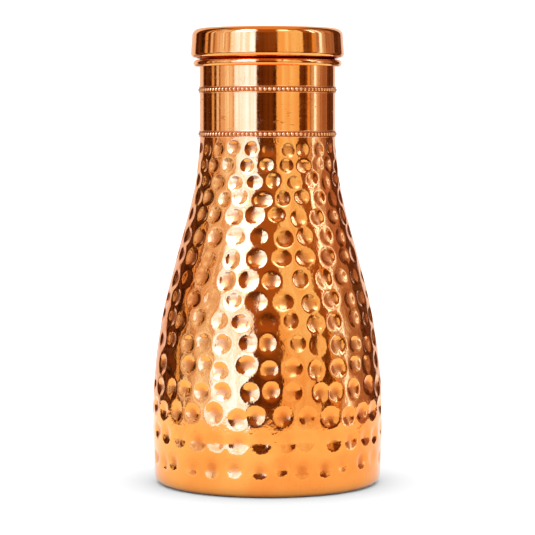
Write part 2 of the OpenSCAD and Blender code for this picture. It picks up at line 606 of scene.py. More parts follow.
def scuff_group() -> bpy.types.NodeTree:
    """Short upright scratches and rubbed patches from washing and handling.

    Thin bands of a stretched noise near its middle value make hairlines; a slow noise gathers them.

    Returns:
        The group, with Scratch and Rub outputs.
    """
    wiring, given, put = new_group(
        "handling scuffs",
        {"Scale": 500.0, "Lean": 0.12},
        {"Scratch": "NodeSocketFloat", "Rub": "NodeSocketFloat"},
    )
    place = wiring.place()
    parts = wiring.add("ShaderNodeSeparateXYZ", Vector=place).outputs
    tall = wiring.maths("MULTIPLY", parts[2], given["Lean"])
    squeezed = wiring.add("ShaderNodeCombineXYZ", X=parts[0], Y=parts[1], Z=tall).outputs[0]
    hair = wiring.noise(squeezed, given["Scale"], distortion=0.3)
    off_middle = wiring.maths("ABSOLUTE", wiring.maths("SUBTRACT", hair, 0.5))
    line_mask = wiring.span(off_middle, 0.0, 0.018, (1.0, 0.0))
    gathered = wiring.span(wiring.noise(place, 45.0), 0.5, 0.68)
    put("Scratch", wiring.maths("MULTIPLY", line_mask, gathered))
    put("Rub", gathered)
    return wiring.tree


@dataclass
class Effects:
    """The node groups that the finishes share, each made once."""

    lines: bpy.types.NodeTree = field(default_factory=turning_lines_group)
    tone: bpy.types.NodeTree = field(default_factory=tarnish_group)
    scuffs: bpy.types.NodeTree = field(default_factory=scuff_group)


@dataclass(frozen=True)
class CopperFinish:
    """Polished copper: its tones, gloss, turning lines and wear, with painted shade in its hollows."""

    name: str
    clean: tuple[float, float, float] = (0.985, 0.385, 0.085)
    warm: tuple[float, float, float] = (0.94, 0.275, 0.048)
    # The darker copper of freckles, scratches and dashes, also used as the painted shade in hollows.
    deep: tuple[float, float, float] = (0.50, 0.10, 0.015)
    tone_amount: float = 0.6
    tone_scale: float = 18.0
    roughness: float = 0.07
    line_fineness: float = 2600.0
    line_depth: float = 0.02
    streak_roughness: float = 0.05
    scratch_roughness: float = 0.12
    scratch_dark: float = 0.3
    freckle_dark: float = 0.55
    hollow_attribute: str = ""
    # How much of the deep colour is painted into the hollows as shade.
    hollow_painted_shade: float = 0.58
    hollow_roughness: float = 0.2
    peen_depth: float = 0.0
    ripple_depth: float = 0.0
    dash_dark: float = 0.0

    def build(self, effects: Effects) -> bpy.types.Material:
        """Makes the material.

        Args:
            effects: The shared node groups.

        Returns:
            The material.
        """
        material, wiring = blank_material(self.name)
        clean, warm = (*self.clean, 1.0), (*self.warm, 1.0)
        tone = wiring.add(
            "ShaderNodeGroup", {"node_tree": effects.tone},
            Clean=clean, Warm=warm, Amount=self.tone_amount, Scale=self.tone_scale,
        )
        lines = wiring.add("ShaderNodeGroup", {"node_tree": effects.lines}, Fineness=self.line_fineness)
        scuffs = wiring.add("ShaderNodeGroup", {"node_tree": effects.scuffs})
        deep = (*self.deep, 1.0)
        freckle = wiring.maths("MULTIPLY", tone.outputs["Freckle"], self.freckle_dark)
        colour = wiring.blend(freckle, tone.outputs["Color"], deep)
        scored = wiring.maths("MULTIPLY", scuffs.outputs["Scratch"], self.scratch_dark)
        colour = wiring.blend(scored, colour, deep)
        streak = wiring.maths("MULTIPLY", lines.outputs["Streak"], self.streak_roughness)
        scratch = wiring.maths("MULTIPLY", scuffs.outputs["Scratch"], self.scratch_roughness)
        rough = wiring.maths("ADD", wiring.maths("ADD", streak, scratch), self.roughness)
        normal = wiring.bump(lines.outputs["Height"], self.line_depth, 0.05 * MM)
        if self.ripple_depth > 0:
            ripple = wiring.add("ShaderNodeGroup", {"node_tree": effects.lines}, Fineness=1000.0, Drift=250.0)
            normal = wiring.bump(ripple.outputs["Height"], 1.0, self.ripple_depth, normal)
            dash = wiring.maths("MULTIPLY", ripple.outputs["Dash"], self.dash_dark)
            colour = wiring.blend(dash, colour, deep)
            rough = wiring.maths("ADD", rough, wiring.maths("MULTIPLY", dash, 0.3))
        # Painted shade: the deep colour darkens the surface where the hollow attribute says it lies low, in
        # the hammer marks and the grooves between beads; the extra roughness and the peening bump there are
        # not painted.
        if self.hollow_attribute:
            hollow = wiring.add("ShaderNodeAttribute", {"attribute_name": self.hollow_attribute})
            inside = wiring.span(hollow.outputs["Fac"], 0.15, 0.8)
            colour = wiring.blend(wiring.maths("MULTIPLY", inside, self.hollow_painted_shade), colour, deep)
            rough = wiring.maths("ADD", rough, wiring.maths("MULTIPLY", inside, self.hollow_roughness))
            peen = wiring.noise(wiring.place(), 520.0, 2.0, 0.45)
            normal = wiring.bump(peen, self.peen_depth, 0.3 * MM, normal)
        shader = wiring.add(
            "ShaderNodeBsdfPrincipled", Base_Color=colour, Metallic=1.0, Roughness=rough, Normal=normal
        )
        wiring.add("ShaderNodeOutputMaterial", Surface=shader.outputs[0])
        return material


@dataclass(frozen=True)
class SiliconeFinish:
    """Soft white silicone with a faint bloom and moulding specks."""

    name: str = "white_silicone"
    colour: tuple[float, float, float] = (0.84, 0.83, 0.79)
    bloom: tuple[float, float, float] = (0.93, 0.92, 0.89)
    roughness: float = 0.42

    def build(self) -> bpy.types.Material:
        """Makes the material.

        Returns:
            The material.
        """
        material, wiring = blank_material(self.name)
        place = wiring.place()
        cloud = wiring.noise(place, 220.0, 4.0)
        colour = wiring.blend(wiring.span(cloud, 0.35, 0.7), (*self.colour, 1.0), (*self.bloom, 1.0))
        rough = wiring.maths("ADD", wiring.maths("MULTIPLY", cloud, 0.12), self.roughness)
        normal = wiring.bump(wiring.noise(place, 4000.0), 0.15, 0.02 * MM)
        shader = wiring.add("ShaderNodeBsdfPrincipled", Base_Color=colour, Roughness=rough, Normal=normal)
        wiring.add("ShaderNodeOutputMaterial", Surface=shader.outputs[0])
        return material


# ---------------------------------------------------------------------------------------------
# The bottle's own pieces
# ---------------------------------------------------------------------------------------------


@dataclass
class HammerMarks:
    """Rows of round marks beaten into the wall, closer and smaller towards the neck."""

    top_z: float = 172.5 * MM
    rows: int = 16
    top_pitch: float = 8.2 * MM
    middle_pitch: float = 10.5 * MM
    pitch_rise: tuple[float, float] = (2.3, 4.3)
    lower_growth: float = 0.43 * MM
    growth_from: int = 8
    count_top: int = 23
    count_bottom: int = 31
    count_rise: tuple[float, float] = (6.0, 12.0)
    radius_top: float = 3.75 * MM
    radius_bottom: float = 4.7 * MM
    radius_rise: tuple[float, float] = (1.0, 6.0)
    dish: float = 0.24
    deepest: float = 1.25 * MM
    rim: float = 0.1
    light_rows: int = 2
    light_blow: float = 0.72
    spin_drift: float = 0.08
    rise_drift: float = 0.09
    width_spread: float = 0.08
    height_spread: float = 0.06
    depth_spread: float = 0.22
    seed: int = 7

    def row_heights(self) -> np.ndarray:
        """The height of each row: a close pitch under the neck, a wider one on the flank, wider again below.

        Returns:
            The heights, from the top row down.
        """
        gap = np.arange(self.rows - 1)
        pitch = self.top_pitch + (self.middle_pitch - self.top_pitch) * smooth_step(gap, *self.pitch_rise)
        pitch += self.lower_growth * np.maximum(gap - self.growth_from, 0)
        return self.top_z - np.concatenate([[0], np.cumsum(pitch)])

    def field_on(
        self, radius: np.ndarray, height: np.ndarray, length: np.ndarray, columns: int
    ) -> np.ndarray:
        """How deep the wall is pressed in at each point of a grid.

        One mark of radius q and depth d is d * w * ln(1 + exp((1 - p^2) / w)), where p is the
        distance from its middle over q and w sets how soft the rim is. Marks that meet are
        combined as the cube root of the sum of their cubes, so that none gets deeper.

        Args:
            radius: The wall's radius at each row.
            height: The wall's height at each row.
            length: The length along the wall at each row.
            columns: How many columns one turn has.

        Returns:
            The depth, of shape (rows, columns).
        """
        rng = np.random.default_rng(self.seed)
        angle = np.arange(columns) * TURN / columns
        cubes = np.zeros((len(height), columns))
        for row, z in enumerate(self.row_heights()):
            rise = float(smooth_step(row, *self.count_rise))
            count = round(self.count_top + (self.count_bottom - self.count_top) * rise)
            here = float(np.interp(z, height, length))
            wall = float(np.interp(z, height, radius))
            growth = float(smooth_step(row, *self.radius_rise))
            size = self.radius_top + (self.radius_bottom - self.radius_top) * growth
            start = rng.uniform(0, TURN)
            blow = self.light_blow if row >= self.rows - self.light_rows else 1.0
            for k in range(count):
                centre = start + (k + rng.normal(0, self.spin_drift)) * TURN / count
                along_at = here + rng.normal(0, self.rise_drift) * size * 2
                wide = size * (1 + rng.normal(0, self.width_spread))
                tall = size * (1 + rng.normal(0, self.height_spread))
                force = min(1.2, max(0.45, 1 + rng.normal(0, self.depth_spread)))
                deep = size * self.dish * blow * force
                near = np.flatnonzero(np.abs(length - along_at) < 1.9 * size)
                along = (length[near, None] - along_at) / tall
                across = ((angle[None, :] - centre + math.pi) % TURN - math.pi) * wall / wide
                cubes[near] += self.one(along**2 + across**2, deep) ** 3
        return np.cbrt(cubes)

    def one(self, square: np.ndarray, deep: float) -> np.ndarray:
        """The depth of one mark, from the square of the distance over its radius."""
        return deep * self.rim * np.logaddexp(0, (1 - square) / self.rim)


@dataclass
class BottleBody:
    """The hammered wall with its turned-in foot, and the domed disc that closes it."""

    belly_z: float = 34.5 * MM
    flank_angle: float = 15.0
    belly_arc_r: float = 270 * MM
    shoulder_arc_r: float = 150 * MM
    tuck_arc_r: float = 790 * MM
    foot_corner_r: float = 4.7 * MM
    foot_land_w: float = 4.5 * MM
    sheet: float = 0.8 * MM
    swell: float = 0.4 * MM
    swell_foot: tuple[float, float] = (8 * MM, 22 * MM)
    swell_seam: tuple[float, float] = (2 * MM, 14 * MM)
    marks_foot: tuple[float, float] = (8 * MM, 12 * MM)
    marks_seam: tuple[float, float] = (1.5 * MM, 5 * MM)
    wave_h: float = 0.018 * MM
    wave_count: int = 14
    wave_turns: tuple[int, int] = (5, 26)
    wave_slant: float = 420.0
    wave_foot: tuple[float, float] = (6 * MM, 20 * MM)
    lining_step: int = 5
    base_lap: float = 4 * MM
    ring_radii: tuple[float, ...] = (14 * MM, 28 * MM, 40 * MM)
    ring_h: float = 0.22 * MM
    ring_half_width: float = 0.9 * MM
    columns: int = 364
    marks: HammerMarks = field(default_factory=HammerMarks)

    def __post_init__(self) -> None:
        """Reads the wall's widest radius, its neck radius and its seam from the CAD."""
        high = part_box("body_shell")[1]
        self.belly_r = high.x
        self.seam_z = high.z
        self.spigot_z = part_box("neck_tube")[0].z
        curve_in = (self.belly_arc_r + self.shoulder_arc_r) * (1 - math.cos(math.radians(self.flank_angle)))
        flank = (self.seam_z - self.belly_z) - (self.belly_arc_r + self.shoulder_arc_r) * math.sin(
            math.radians(self.flank_angle)
        )
        self.neck_r = self.belly_r - curve_in - flank * math.tan(math.radians(self.flank_angle))
        reach = self.tuck_arc_r - self.foot_corner_r
        drop = self.belly_z - self.foot_corner_r
        self.corner_r = self.belly_r - self.tuck_arc_r + math.sqrt(reach**2 - drop**2)
        self.tuck_angle = math.degrees(math.asin(drop / reach))

    def outline(self, inset: float, foot: int, wall: int) -> np.ndarray:
        """The wall's outline from the foot's inner edge to the seam, moved inwards by inset.

        It is a flat land, the foot's corner arc, the tuck arc, the belly arc, a straight flank
        and the hollow shoulder arc, each touching the next.

        Args:
            inset: How far inside the outer face the outline lies.
            foot: How many points the foot's corner has.
            wall: How many points each long arc has.

        Returns:
            The outline's points.
        """
        land = (self.corner_r - self.foot_land_w, inset)
        angle = self.flank_angle
        return joined(
            line(land, (self.corner_r, inset), 4),
            arc((self.corner_r, self.foot_corner_r), self.foot_corner_r - inset, -90, -self.tuck_angle, foot),
            arc((self.belly_r - self.tuck_arc_r, self.belly_z), self.tuck_arc_r - inset,
                -self.tuck_angle, 0, wall),
            arc((self.belly_r - self.belly_arc_r, self.belly_z), self.belly_arc_r - inset, 0, angle, wall),
            arc((self.neck_r + self.shoulder_arc_r, self.seam_z), self.shoulder_arc_r + inset,
                180 + angle, 180, wall),
        )

    def rows_along(self, outline: np.ndarray, first: float) -> np.ndarray:
        """Rows whose spacing is in step with the radius, so that the grid's cells stay square.

        The sum of ds / r along the wall is cut into equal parts of one column's angle.

        Args:
            outline: A dense outline.
            first: The height above which rows are laid out.

        Returns:
            The rows as (radius, height).
        """
        wall = outline[outline[:, 1] >= first]
        step = np.linalg.norm(np.diff(wall, axis=0), axis=1)
        measure = np.concatenate([[0], np.cumsum(step / (0.5 * (wall[1:, 0] + wall[:-1, 0])))])
        count = math.ceil(measure[-1] / (TURN / self.columns))
        even = np.linspace(0, measure[-1], count)
        return np.column_stack([np.interp(even, measure, wall[:, k]) for k in (0, 1)])

    def build_wall(self) -> bpy.types.Object:
        """The wall: a hammered outer face and a coarser lining that follows it, closed at both ends.

        The lining keeps every fifth row, and has no marks beside the neck's spigot.

        Returns:
            The piece.
        """
        dense = self.outline(0, 9, 160)
        first = self.foot_corner_r + 3 * MM
        upper = self.rows_along(dense, first)
        lower = dense[dense[:, 1] < first]
        lower = lower[np.concatenate([[True], np.linalg.norm(np.diff(lower, axis=0), axis=1) > 0.3 * MM])]
        outer = np.vstack([lower, upper])
        height = outer[:, 1]
        step = np.concatenate([[0], np.linalg.norm(np.diff(outer, axis=0), axis=1)])
        tangent = np.gradient(outer, axis=0)
        normal = np.column_stack([tangent[:, 1], -tangent[:, 0]])
        normal /= np.linalg.norm(normal, axis=1)[:, None]
        depth = self.marks.field_on(outer[:, 0], height, np.cumsum(step), self.columns)
        below_seam = self.seam_z - height
        marked = smooth_step(height, *self.marks_foot) * smooth_step(below_seam, *self.marks_seam)
        swollen = smooth_step(height, *self.swell_foot) * smooth_step(below_seam, *self.swell_seam)
        depth *= marked[:, None]
        depth += self.waves(height) * smooth_step(height, *self.wave_foot)[:, None]
        depth -= self.swell * swollen[:, None]
        outside = self.pressed(outer, normal, depth)
        chosen = np.unique(np.concatenate([
            np.arange(0, len(lower), 2),
            np.arange(len(lower), len(outer), self.lining_step),
            [len(outer) - 1],
        ]))
        behind = depth[chosen]
        behind[height[chosen] > self.spigot_z - 0.5 * MM] = 0
        inside = self.pressed(outer[chosen], normal[chosen], behind + self.sheet)[::-1]
        grid = np.concatenate([outside, inside])
        zones = np.concatenate([np.zeros(len(outside) - 1), np.ones(len(inside) + 1)]).astype(int)
        # The hollow attribute is each point's depth in the marks, from which the finish paints shade into
        # them.
        hollow = np.concatenate([depth / self.marks.deepest, np.zeros(inside.shape[:2])])
        return shell("hammered_wall", grid, zones=zones, attributes={"hollow": hollow})

    def pressed(self, outline: np.ndarray, normal: np.ndarray, depth: np.ndarray) -> np.ndarray:
        """The wall's rows carried round the axis, each point moved inwards along the row's normal.

        Args:
            outline: The rows as (radius, height).
            normal: Each row's outward direction.
            depth: How far each point moves, of shape (rows, columns).

        Returns:
            The points, of shape (rows, columns, 3).
        """
        angle = np.arange(self.columns) * TURN / self.columns
        radius = outline[:, :1] - depth * normal[:, :1]
        height = outline[:, 1:] - depth * normal[:, 1:]
        return np.stack([radius * np.cos(angle), radius * np.sin(angle), height], axis=2)

    def waves(self, height: np.ndarray) -> np.ndarray:
        """The faint unevenness that beating leaves between the marks: a sum of slanted sine waves.

        Args:
            height: The height of each row.

        Returns:
            The depth, of shape (rows, columns), which swings about wave_h * wave_count / 2.
        """
        rng = np.random.default_rng(self.marks.seed + 1)
        angle = np.arange(self.columns) * TURN / self.columns
        total = np.zeros((len(height), self.columns))
        for _ in range(self.wave_count):
            turns = int(rng.integers(*self.wave_turns))
            rise = rng.uniform(-self.wave_slant, self.wave_slant)
            phase = rng.uniform(0, TURN)
            total += np.sin(turns * angle[None, :] + rise * height[:, None] + phase)
        return self.wave_h * (total + self.wave_count / 2)

    def build_base(self, node: str) -> bpy.types.Object:
        """The base disc: a flat lap, a step up and a low dome with three turned rings.

        Args:
            node: The CAD node that gives its size.

        Returns:
            The piece.
        """
        low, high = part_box(node)
        edge, lap = high.x, self.base_lap
        rise = high.z - self.sheet - low.z
        radius = np.linspace(edge - lap, 1.5 * MM, 60)
        share = 1 - radius / (edge - lap)
        dome = low.z + rise * np.sin(0.5 * math.pi * share)
        off = (radius[:, None] - np.array(self.ring_radii)) / self.ring_half_width
        rings = self.ring_h * np.exp(-(off**2)).sum(axis=1)
        under = np.column_stack([radius, dome + rings])
        over = np.column_stack([radius, dome + self.sheet])[::-1]
        rim = rounded([(edge - lap, low.z, 0), (edge, low.z, 0.2 * MM), (edge, low.z + self.sheet, 0.2 * MM),
                       (edge - lap, low.z + self.sheet, 0)], closed=False)
        outline = joined(over, rim[::-1], under)
        return shell("base_disc_pressed", spun(outline, 192), wrap=False, poles=(high.z, high.z - self.sheet))


@dataclass
class Thread:
    """A rounded thread, rolled into sheet: where it starts, how it climbs and how tall it stands."""

    start_z: float
    start_angle: float
    pitch: float
    turns: float
    height: float
    half_width: float = 1.35 * MM
    run_out: float = 0.11

    def bulge(self, height: np.ndarray, angle: np.ndarray) -> np.ndarray:
        """How far the thread stands out at each point.

        The height above the helix is folded to the nearest turn, a raised cosine gives the ridge,
        and the ridge rises and falls over run_out turns at its ends.

        Args:
            height: The height grid.
            angle: The angle grid, in radians.

        Returns:
            The bulge grid.
        """
        part = ((angle - self.start_angle) % TURN) / TURN
        climb = (height - self.start_z) / self.pitch - part
        lap = np.clip(np.round(climb), 0, math.ceil(self.turns))
        along = lap + part
        off = (climb - lap) * self.pitch / self.half_width
        ridge = np.where(np.abs(off) < 1, 0.5 + 0.5 * np.cos(np.pi * np.clip(off, -1, 1)), 0)
        ends = smooth_step(along, 0, self.run_out) * smooth_step(self.turns - along, 0, self.run_out)
        return self.height * ridge * ends


@dataclass
class Neck:
    """The plain neck, its rolled mouth with the thread, the collar and the two beaded rings."""

    sheet: float = 0.8 * MM
    step_in: float = 0.75 * MM
    step_h: float = 1.2 * MM
    thread_rise: float = 2.75 * MM
    thread_pitch: float = 4.5 * MM
    thread_turns: float = 1.75
    thread_h: float = 1.15 * MM
    collar_h: float = 3.6 * MM
    beads: int = 94
    bead_r: float = 1.05 * MM
    band_h: float = 3.6 * MM
    line_h: float = 0.45 * MM
    ring_back: float = 0.03 * MM
    ring_floor: float = 0.17 * MM
    ring_line: float = 0.42 * MM
    face_points: int = 25
    bead_columns: int = 14

    def __post_init__(self) -> None:
        """Reads the neck's radius and heights from the CAD."""
        low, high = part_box("neck_tube")
        self.foot_z, self.rim_z = low.z, high.z
        self.seam_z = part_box("body_shell")[1].z
        self.collar_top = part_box("collar_ring")[1].z
        self.radius = self.neck_radius()
        self.mouth_r = self.radius - self.step_in

    def neck_radius(self) -> float:
        """The neck's plain radius: the widest point of its node up to just above the seam.

        Returns:
            The radius.
        """
        points = node_points("neck_tube")
        below = points[points[:, 2] < self.seam_z + 2 * MM]
        return float(np.hypot(below[:, 0], below[:, 1]).max())

    def thread(self) -> Thread:
        """The thread on the mouth."""
        start = self.collar_top + self.thread_rise
        return Thread(start, 0.0, self.thread_pitch, self.thread_turns, self.thread_h)

    def build_tube(self) -> bpy.types.Object:
        """The neck: a spigot in the body, the plain wall, a step, the threaded mouth and a rolled lip.

        Returns:
            The piece.
        """
        r, t, mouth = self.radius, self.sheet, self.mouth_r
        low = self.seam_z + BRAZE_GAP
        top = self.collar_top
        spigot = r - t - BRAZE_GAP
        lip = t
        outer = rounded([
            (spigot, self.foot_z, 0), (spigot, low, 0.1 * MM), (r, low, 0.15 * MM), (r, top, 0.5 * MM),
            (mouth, top + self.step_h, 0.5 * MM), (mouth, self.rim_z - lip, 0),
        ], closed=False)
        curl = arc((mouth - lip, self.rim_z - lip), lip, 0, 270, 14)
        inner = rounded([
            (mouth - t, self.rim_z - 2 * lip - 0.1 * MM, 0),
            (mouth - t, top + self.step_h - 0.2 * MM, 0.6 * MM),
            (r - t, top - 0.2 * MM, 0.6 * MM), (r - t, low + self.step_h, 0.3 * MM),
            (spigot - t, low, 0.3 * MM), (spigot - t, self.foot_z, 0),
        ], closed=False)
        band = (top + self.step_h, self.rim_z - 2 * lip, 0.3 * MM)
        outline = refined(joined(outer, curl, inner), 6 * MM, closed=True, band=band)
        thread = self.thread()

        def relief(radius: np.ndarray, height: np.ndarray, angle: np.ndarray) -> np.ndarray:
            """Rolls the thread into both faces of the mouth's sheet."""
            return radius + thread.bulge(height, angle)

        return shell("neck_and_mouth", spun(outline, 360, relief))

    def build_collar(self) -> bpy.types.Object:
        """The collar: a half-round nose on a flat back.

        Returns:
            The piece.
        """
        low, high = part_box("collar_ring")
        nose = self.collar_h / 2
        middle = (low.z + high.z) / 2
        back = self.radius + BRAZE_GAP
        outline = joined(
            line((back, low.z), (high.x - nose, low.z), 3),
            arc((high.x - nose, middle), nose, -90, 90, 26),
            line((high.x - nose, high.z), (back, high.z), 3),
        )
        return shell("collar_bead", spun(refined(outline, 1 * MM, closed=True), 256))

    def build_ring(self, node: str, name: str) -> bpy.types.Object:
        """A beaded ring: a band with a fine line along each edge and round beads between them.

        A bead of radius q stands sqrt(q^2 - d^2) out from its middle, where d is the distance
        from the bead's middle, measured along the band and round it.

        Args:
            node: The CAD node that gives its height.
            name: The piece's name.

        Returns:
            The piece.
        """
        low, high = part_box(node)
        middle, half = (low.z + high.z) / 2, self.band_h / 2
        back, floor = self.radius + self.ring_back, self.radius + self.ring_floor
        crest = self.radius + self.ring_line
        edge = half - self.line_h
        face = np.linspace(-edge + 0.1 * MM, edge - 0.1 * MM, self.face_points)
        lower = rounded([
            (back, -half, 0), (crest, -half, 0.15 * MM), (crest, -edge, 0.15 * MM),
            (floor, -edge + 0.05 * MM, 0),
        ], steps=4, closed=False)
        outline = joined(lower, np.column_stack([np.full_like(face, floor), face]), lower[::-1] * [1, -1])
        outline[:, 1] += middle
        centre = high.x - self.bead_r
        pitch = TURN / self.beads

        def relief(radius: np.ndarray, height: np.ndarray, angle: np.ndarray) -> np.ndarray:
            """Raises the beads from the band's face.

            Args:
                radius: The radius grid.
                height: The height grid.
                angle: The angle grid, in radians.

            Returns:
                The raised radius grid.
            """
            across = ((angle + 0.5 * pitch) % pitch - 0.5 * pitch) * self.radius
            square = self.bead_r**2 - across**2 - (height - middle) ** 2
            bead = centre + np.sqrt(np.maximum(square, 0))
            inside = (radius >= floor - 1e-9) & (np.abs(height - middle) < edge)
            return np.where(inside & (square > 0), np.maximum(radius, bead), radius)

        grid = spun(outline, self.beads * self.bead_columns, relief)
        # The hollow attribute marks the band's low floor beside the beads, from which the finish paints shade
        # into the grooves.
        stand = np.hypot(grid[:, :, 0], grid[:, :, 1]) - floor
        hollow = (1 - smooth_step(stand, 0, 0.2 * MM)) * (np.abs(grid[:, :, 2] - middle) < edge)
        return shell(name, grid, attributes={"hollow": hollow})


@dataclass
class ScrewCap:
    """The cap: an outer skin with a rolled-in hem, a threaded cup inside it and a silicone ring."""

    sheet: float = 0.8 * MM
    lean: float = 0.6 * MM
    top_r: float = 3.8 * MM
    hem_r: float = 2.3 * MM
    crown: float = 0.3 * MM
    skirt_thread_h: float = 1.15 * MM
    thread_turns: float = 1.75
    thread_start: float = -206.0
    neck: Neck = field(default_factory=Neck)

    def __post_init__(self) -> None:
        """Reads the cap's size from the CAD."""
        low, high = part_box("cap_shell")
        self.radius, self.low_z, self.high_z = high.x, low.z, high.z
        self.skirt_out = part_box("inner_cap")[1].x

    def skin(self, inset: float, counts: tuple[int, int, int]) -> np.ndarray:
        """The skin's outline from the hem's inner edge to near the middle of the top.

        Args:
            inset: How far inside the outer face the outline lies.
            counts: How many points the hem, the top corner and the crown have.

        Returns:
            The outline's points.
        """
        edge = self.radius - self.lean - self.top_r
        crown_r = np.linspace(edge, POLE_RING, counts[2] + 1)[1:]
        crown_z = self.high_z - inset - self.crown * (crown_r / edge) ** 2
        return joined(
            np.array([[self.skirt_out + BRAZE_GAP, self.low_z + inset]]),
            arc((self.radius - self.hem_r, self.low_z + self.hem_r), self.hem_r - inset, -90, 0, counts[0]),
            arc((edge, self.high_z - self.crown - self.top_r), self.top_r - inset, 0, 90, counts[1]),
            np.column_stack([crown_r, crown_z]),
        )

    def build_skin(self) -> bpy.types.Object:
        """The outer skin of the cap.

        Returns:
            The piece.
        """
        counts = (14, 16, 12)
        outer, inner = self.skin(0, counts), self.skin(self.sheet, counts)
        outline = refined(np.vstack([inner[::-1], outer]), 2.5 * MM)
        poles = (self.high_z - self.sheet, self.high_z)
        return shell("cap_skin", spun(outline, 320), wrap=False, poles=poles)

    def build_cup(self) -> bpy.types.Object:
        """The threaded cup: a skirt with the thread rolled inwards and a flat top.

        Returns:
            The piece.
        """
        low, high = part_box("inner_cap")
        out, t, corner = self.skirt_out, self.sheet, 2 * MM
        outer = rounded([
            (out, low.z, 0), (out, high.z, corner), (POLE_RING, high.z, 0),
        ], steps=8, closed=False)
        inner = rounded([
            (POLE_RING, high.z - t, 0), (out - t, high.z - t, corner - t), (out - t, low.z, 0),
        ], steps=8, closed=False)
        band = (low.z + MM, high.z - corner - MM, 0.3 * MM)
        outline = refined(np.vstack([inner, outer]), 4 * MM, band=band)
        mouth = self.neck.thread()
        start = mouth.start_z + mouth.pitch * (self.thread_start / 360 + 0.5)
        thread = Thread(
            start, math.radians(self.thread_start), mouth.pitch, self.thread_turns, self.skirt_thread_h
        )

        def relief(radius: np.ndarray, height: np.ndarray, angle: np.ndarray) -> np.ndarray:
            """Presses the thread inwards on the skirt's inner face only.

            Args:
                radius: The radius grid.
                height: The height grid.
                angle: The angle grid, in radians.

            Returns:
                The pressed radius grid.
            """
            wall = np.abs(radius - (out - t)) < 0.02 * MM
            return np.where(wall, radius - thread.bulge(height, angle), radius)

        return shell("cap_cup", spun(outline, 360, relief), wrap=False, poles=(high.z - t, high.z))

    def build_seal(self) -> bpy.types.Object:
        """The silicone ring: a flat ring with rounded edges.

        Returns:
            The piece.
        """
        low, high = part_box("seal_ring")
        points = node_points("seal_ring")
        inner = float(np.hypot(points[:, 0], points[:, 1]).min())
        outline = rounded([
            (inner, low.z, 0.35 * MM), (high.x, low.z, 0.35 * MM), (high.x, high.z, 0.35 * MM),
            (inner, high.z, 0.35 * MM),
        ], steps=7)
        return shell("silicone_ring", spun(refined(outline, 0.6 * MM, closed=True), 192))


# ---------------------------------------------------------------------------------------------
# The studio
# ---------------------------------------------------------------------------------------------


@dataclass(frozen=True)
class Strip:
    """An upright strip of the studio, seen from the bottle.

    The angles are in degrees from the camera's direction, positive to the right, and the height
    runs from low to high above the horizon. The gleam is its colour where its light is strongest.
    """

    left: float
    right: float
    low: float
    high: float
    colour: tuple[float, float, float]
    gleam: tuple[float, float, float]
    soft: float = 1.5
    soft_top: float = 6.0


